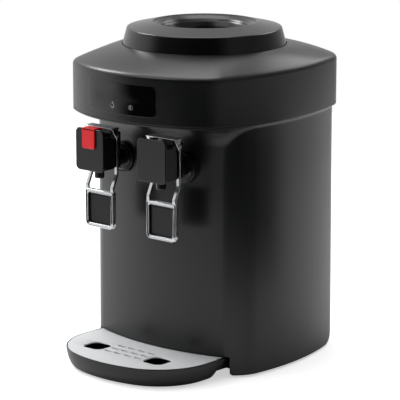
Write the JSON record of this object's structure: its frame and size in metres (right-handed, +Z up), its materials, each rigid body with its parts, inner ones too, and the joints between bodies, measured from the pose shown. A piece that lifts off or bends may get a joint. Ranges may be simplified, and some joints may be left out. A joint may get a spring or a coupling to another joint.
{
  "type": "countertop water cooler",
  "caption": "Countertop bottle-fed water cooler with hot and cold lever taps, lift-out bottle seat, sliding drip tray, rear fan, switches and drain.",
  "frame": {"origin": "on the table, under the middle of the object's outline", "axes": "+Z up, front with the taps facing -Y, +X to the right seen from the front"},
  "size_m": [0.286, 0.36, 0.4404],
  "materials": {
    "casing": "satin, fine grain",
    "gloss_black": "gloss",
    "matt_black": "matt",
    "chromed_steel": "polished",
    "brushed": "brushed",
    "red_plastic": "satin",
    "foot_rubber": "matt",
    "foam": "open foam",
    "aluminium": "extruded",
    "hose": "translucent silicone",
    "circuit": "lacquered board",
    "natural_plastic": "satin",
    "ceramic": "matt",
    "hot_lamp": "gloss",
    "cold_lamp": "gloss",
    "zinc_steel": "zinc plated"
  },
  "bodies": {
    "cooler": {"front_shell": "casing", "rear_panel": "casing", "head_cover": "casing", "display_panel": "gloss_black", "hot_tap_washer": "gloss_black", "cold_tap_washer": "gloss_black", "switch_housing": "gloss_black", "base_plate": "matt_black", "fan_frame": "matt_black", "hot_thermostat": "matt_black", "power_inlet": "matt_black", "hot_tap_body": "matt_black", "cold_tap_body": "matt_black", "hot_nozzle": "matt_black", "cold_nozzle": "matt_black", "cold_tank": "brushed", "hot_tank": "brushed", "hot_valve_spring": "brushed", "cold_valve_spring": "brushed", "foot_front_left": "foot_rubber", "foot_front_right": "foot_rubber", "foot_rear_left": "foot_rubber", "foot_rear_right": "foot_rubber", "cold_tank_foam": "foam", "hot_tank_jacket": "foam", "cold_block": "aluminium", "heat_sink": "aluminium", "hot_feed_pipe": "hose", "hot_outlet_pipe": "hose", "cold_outlet_pipe": "hose", "control_board": "circuit", "indicator_board": "circuit", "cold_tank_lid": "natural_plastic", "tank_separator": "natural_plastic", "drain_pipe": "natural_plastic", "hot_tap_nut": "natural_plastic", "cold_tap_nut": "natural_plastic", "cooling_module": "ceramic", "hot_lens": "hot_lamp", "cold_lens": "cold_lamp", "inner_frame": "zinc_steel", "heater_band": "zinc_steel"},
    "drip_tray_body": {"drip_tray": "casing"},
    "drip_grille_body": {"drip_grille": "brushed"},
    "bottle_seat": {"bottle_collar": "casing", "funnel_bowl": "gloss_black", "feed_probe": "natural_plastic"},
    "hot_lever_body": {"hot_lever": "chromed_steel", "hot_paddle_pad": "matt_black", "hot_lever_pin": "brushed"},
    "cold_lever_body": {"cold_lever": "chromed_steel", "cold_paddle_pad": "matt_black", "cold_lever_pin": "brushed"},
    "hot_plunger_body": {"hot_plunger": "natural_plastic"},
    "cold_plunger_body": {"cold_plunger": "natural_plastic"},
    "hot_lock_body": {"hot_lock": "red_plastic"},
    "heating_rocker": {"heating_switch": "red_plastic"},
    "cooling_rocker": {"cooling_switch": "matt_black"},
    "fan_rotor_body": {"fan_rotor": "matt_black"},
    "drain_plug_body": {"drain_plug": "matt_black"}
  },
  "joints": [
    {"name": "hot_lever_hinge", "type": "hinge", "parent": "cooler", "child": "hot_lever_body", "pos_m": [-0.0533, -0.11155, 0.3045], "axis": [1, 0, 0], "range_deg": [0, 12], "stiffness_Nm_per_rad": 0.6, "springref_deg": -20.05},
    {"name": "hot_plunger_slide", "type": "slide", "parent": "cooler", "child": "hot_plunger_body", "axis": [0, 0, -1], "range_m": [0, 0.0025], "stiffness_N_per_m": 300, "springref_m": -0.004, "deforming": ["hot_valve_spring"]},
    {"name": "cold_lever_hinge", "type": "hinge", "parent": "cooler", "child": "cold_lever_body", "pos_m": [0.0533, -0.11155, 0.3045], "axis": [1, 0, 0], "range_deg": [0, 12], "stiffness_Nm_per_rad": 0.6, "springref_deg": -20.05},
    {"name": "cold_plunger_slide", "type": "slide", "parent": "cooler", "child": "cold_plunger_body", "axis": [0, 0, -1], "range_m": [0, 0.0025], "stiffness_N_per_m": 300, "springref_m": -0.004, "deforming": ["cold_valve_spring"]},
    {"name": "hot_lock_slide", "type": "slide", "parent": "cooler", "child": "hot_lock_body", "axis": [0, 0, -1], "range_m": [0, 0.003], "stiffness_N_per_m": 400, "springref_m": -0.002},
    {"name": "tray_slide", "type": "slide", "parent": "cooler", "child": "drip_tray_body", "axis": [0, -1, 0], "range_m": [0, 0.12]},
    {"name": "grille_lift", "type": "slide", "parent": "drip_tray_body", "child": "drip_grille_body", "axis": [0, 0, 1], "range_m": [0, 0.03]},
    {"name": "bottle_seat_lift", "type": "slide", "parent": "cooler", "child": "bottle_seat", "axis": [0, 0, 1], "range_m": [0, 0.06]},
    {"name": "heating_rocker_hinge", "type": "hinge", "parent": "cooler", "child": "heating_rocker", "pos_m": [-0.0145, 0.1677, 0.118], "axis": [1, 0, 0], "range_deg": [0, 16]},
    {"name": "cooling_rocker_hinge", "type": "hinge", "parent": "cooler", "child": "cooling_rocker", "pos_m": [0.0145, 0.1677, 0.118], "axis": [1, 0, 0], "range_deg": [0, 16]},
    {"name": "fan_spin", "type": "hinge", "parent": "cooler", "child": "fan_rotor_body", "pos_m": [0, 0.165, 0.274], "axis": [0, 1, 0], "continuous": true},
    {"name": "drain_plug_pull", "type": "slide", "parent": "cooler", "child": "drain_plug_body", "axis": [0, 1, 0], "range_m": [0, 0.02]}
  ],
  "couplings": [
    {"joint": "hot_plunger_slide", "follows": "hot_lever_hinge", "m_per_rad": 0.0107},
    {"joint": "cold_plunger_slide", "follows": "cold_lever_hinge", "m_per_rad": 0.0107}
  ]
}
